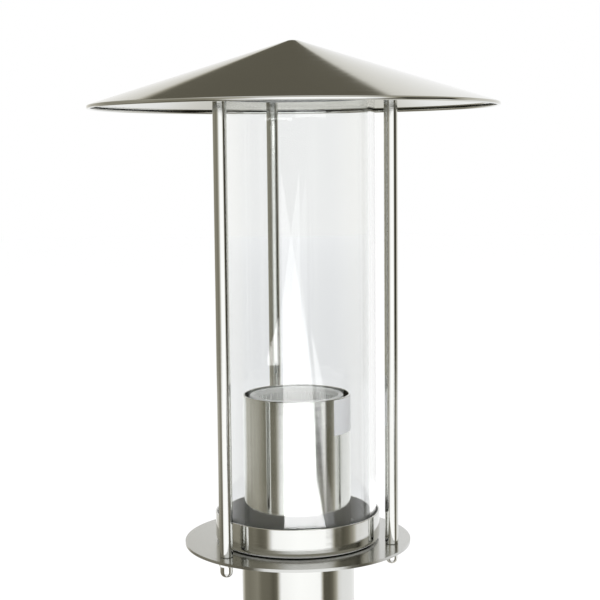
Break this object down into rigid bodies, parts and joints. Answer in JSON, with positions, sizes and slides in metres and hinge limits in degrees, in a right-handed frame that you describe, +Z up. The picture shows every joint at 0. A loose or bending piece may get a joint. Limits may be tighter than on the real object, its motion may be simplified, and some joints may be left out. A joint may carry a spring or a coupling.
{
  "type": "outdoor post lantern",
  "caption": "Outdoor post lantern: a conical steel hat on slim rods over a clear cylinder, a screw lampholder in a tube, a round post and a floor flange.",
  "frame": {"origin": "centre of the floor flange's underside", "axes": "+Z up along the post to the hat's tip; +X to the right seen from the front, +Y away from the front"},
  "size_m": [0.2126, 0.2126, 0.4496],
  "materials": {
    "brushed_steel": "circular brushed stainless steel",
    "bright_steel": "polished stainless fasteners",
    "clear_glass": "clear cylinder",
    "seal_rubber": "translucent silicone rubber",
    "grommet_rubber": "black rubber",
    "white_plastic": "white heat-proof plastic",
    "insulator": "white glazed porcelain",
    "brass": "bare brass",
    "zinc_steel": "zinc-plated sheet",
    "label_paper": "white plastic-coated label"
  },
  "bodies": {
    "stand": {"floor_flange": "brushed_steel", "cable_grommet": "grommet_rubber", "post_tube": "brushed_steel", "post_top_plate": "zinc_steel", "base_disc": "brushed_steel", "tray": "brushed_steel", "tray_seal": "seal_rubber", "socket_tube": "brushed_steel", "rating_label": "label_paper", "lamp_bracket": "zinc_steel", "clamp_screw_1": "zinc_steel", "clamp_screw_2": "zinc_steel", "earth_screw": "brass", "nipple": "brass", "nipple_nut": "brass", "lampholder_core": "insulator", "screw_shell": "brass", "centre_contact": "brass", "lampholder_sleeve": "white_plastic"},
    "hat": {"hat_shell": "brushed_steel", "hat_carrier": "brushed_steel", "rod_1": "brushed_steel", "rod_2": "brushed_steel", "rod_3": "brushed_steel", "carrier_nut_1": "bright_steel", "carrier_nut_2": "bright_steel", "carrier_nut_3": "bright_steel"},
    "glass": {"glass_cylinder": "clear_glass", "glass_cap_seal": "seal_rubber"},
    "nut_1": {"cap_nut_1": "bright_steel"},
    "nut_2": {"cap_nut_2": "bright_steel"},
    "nut_3": {"cap_nut_3": "bright_steel"}
  },
  "joints": [
    {"name": "hat_lift", "type": "slide", "parent": "stand", "child": "hat", "axis": [0, 0, 1], "range_m": [0, 0.37]},
    {"name": "glass_lift", "type": "slide", "parent": "stand", "child": "glass", "axis": [0, 0, 1], "range_m": [0, 0.111]},
    {"name": "nut_1_off", "type": "slide", "parent": "stand", "child": "nut_1", "axis": [0, 0, -1], "range_m": [0, 0.015]},
    {"name": "nut_2_off", "type": "slide", "parent": "stand", "child": "nut_2", "axis": [0, 0, -1], "range_m": [0, 0.015]},
    {"name": "nut_3_off", "type": "slide", "parent": "stand", "child": "nut_3", "axis": [0, 0, -1], "range_m": [0, 0.015]}
  ],
  "couplings": [
    {"joint": "glass_lift", "follows": "hat_lift", "ratio": 0.3}
  ]
}
